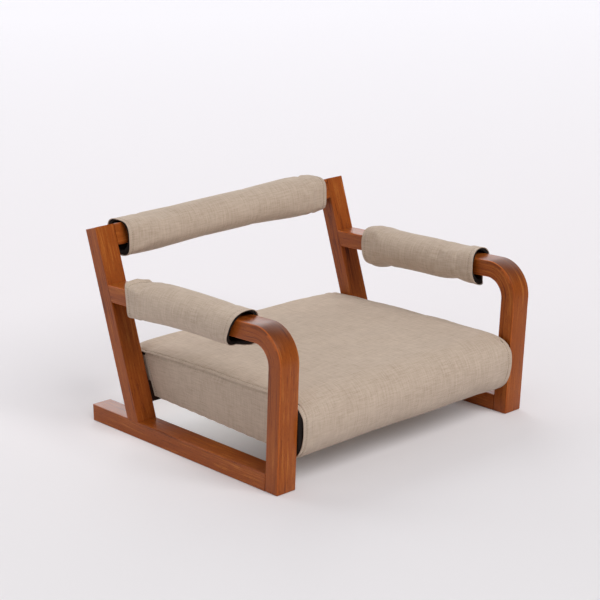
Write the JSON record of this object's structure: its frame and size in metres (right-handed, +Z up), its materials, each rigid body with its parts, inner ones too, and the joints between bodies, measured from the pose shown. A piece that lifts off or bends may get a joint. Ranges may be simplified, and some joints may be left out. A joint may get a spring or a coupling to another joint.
{
  "type": "floor armchair",
  "caption": "Legless timber floor armchair on flat runners, with bent arms, a leaning back rail, a thick wrapped seat and loose padded sleeves on the back rail and the arms",
  "frame": {"origin": "on the floor, below the middle of the chair's width and of its length", "axes": "+X to the sitter's left as the sitter looks along -Y, +Y to the back, +Z up; the sitter faces -Y"},
  "size_m": [0.627, 0.539, 0.3811],
  "materials": {
    "cherry": "cherry-stained timber under satin lacquer",
    "pale_wood": "unfinished plywood, battens and beech dowels, all hidden",
    "linen": "plain-woven beige linen-look upholstery cloth",
    "black_foam": "soft black padding, seen only in the open ends",
    "foam": "cushion foam, hidden inside its cover",
    "steel": "zinc-plated wood screws, hidden"
  },
  "bodies": {
    "frame": {"runner_left": "cherry", "rear_post_left": "cherry", "arm_bow_left": "cherry", "runner_dowel_left_1": "pale_wood", "runner_dowel_left_2": "pale_wood", "rear_post_dowel_left_1": "pale_wood", "rear_post_dowel_left_2": "pale_wood", "arm_dowel_left_1": "pale_wood", "arm_dowel_left_2": "pale_wood", "runner_right": "cherry", "rear_post_right": "cherry", "arm_bow_right": "cherry", "runner_dowel_right_1": "pale_wood", "runner_dowel_right_2": "pale_wood", "rear_post_dowel_right_1": "pale_wood", "rear_post_dowel_right_2": "pale_wood", "arm_dowel_right_1": "pale_wood", "arm_dowel_right_2": "pale_wood", "top_rail": "cherry", "top_rail_dowel_left_1": "pale_wood", "top_rail_dowel_left_2": "pale_wood", "top_rail_dowel_right_1": "pale_wood", "top_rail_dowel_right_2": "pale_wood", "seat_front_rail": "cherry", "seat_front_rail_dowel_left_1": "pale_wood", "seat_front_rail_dowel_left_2": "pale_wood", "seat_front_rail_dowel_right_1": "pale_wood", "seat_front_rail_dowel_right_2": "pale_wood", "seat_rear_rail": "cherry", "seat_rear_rail_dowel_left_1": "pale_wood", "seat_rear_rail_dowel_left_2": "pale_wood", "seat_rear_rail_dowel_right_1": "pale_wood", "seat_rear_rail_dowel_right_2": "pale_wood", "seat_board": "pale_wood", "seat_front_cleat": "pale_wood", "seat_rear_cleat": "pale_wood", "seat_board_screw_1": "steel", "seat_board_screw_2": "steel", "seat_board_screw_3": "steel", "seat_board_screw_4": "steel", "seat_cushion_foam": "foam", "seat_cushion_cover": "linen", "seat_nose_padding": "black_foam", "seat_rear_padding": "black_foam", "seat_wrap": "linen"},
    "back_sleeve": {"back_sleeve_cover": "linen", "back_sleeve_padding": "black_foam"},
    "left_arm_sleeve": {"left_arm_sleeve_cover": "linen", "left_arm_sleeve_padding": "black_foam"},
    "right_arm_sleeve": {"right_arm_sleeve_cover": "linen", "right_arm_sleeve_padding": "black_foam"}
  },
  "joints": [
    {"name": "back_sleeve_turn", "type": "hinge", "parent": "frame", "child": "back_sleeve", "pos_m": [-0.004, 0.23206, 0.3436], "axis": [1, 0, 0], "continuous": true},
    {"name": "left_arm_sleeve_turn", "type": "hinge", "parent": "frame", "child": "left_arm_sleeve", "pos_m": [-0.2795, -0.00933, 0.25871], "axis": [0, 0.9995, -0.0314], "continuous": true},
    {"name": "right_arm_sleeve_turn", "type": "hinge", "parent": "frame", "child": "right_arm_sleeve", "pos_m": [0.2795, -0.02333, 0.25915], "axis": [0, 0.9995, -0.0314], "continuous": true}
  ]
}
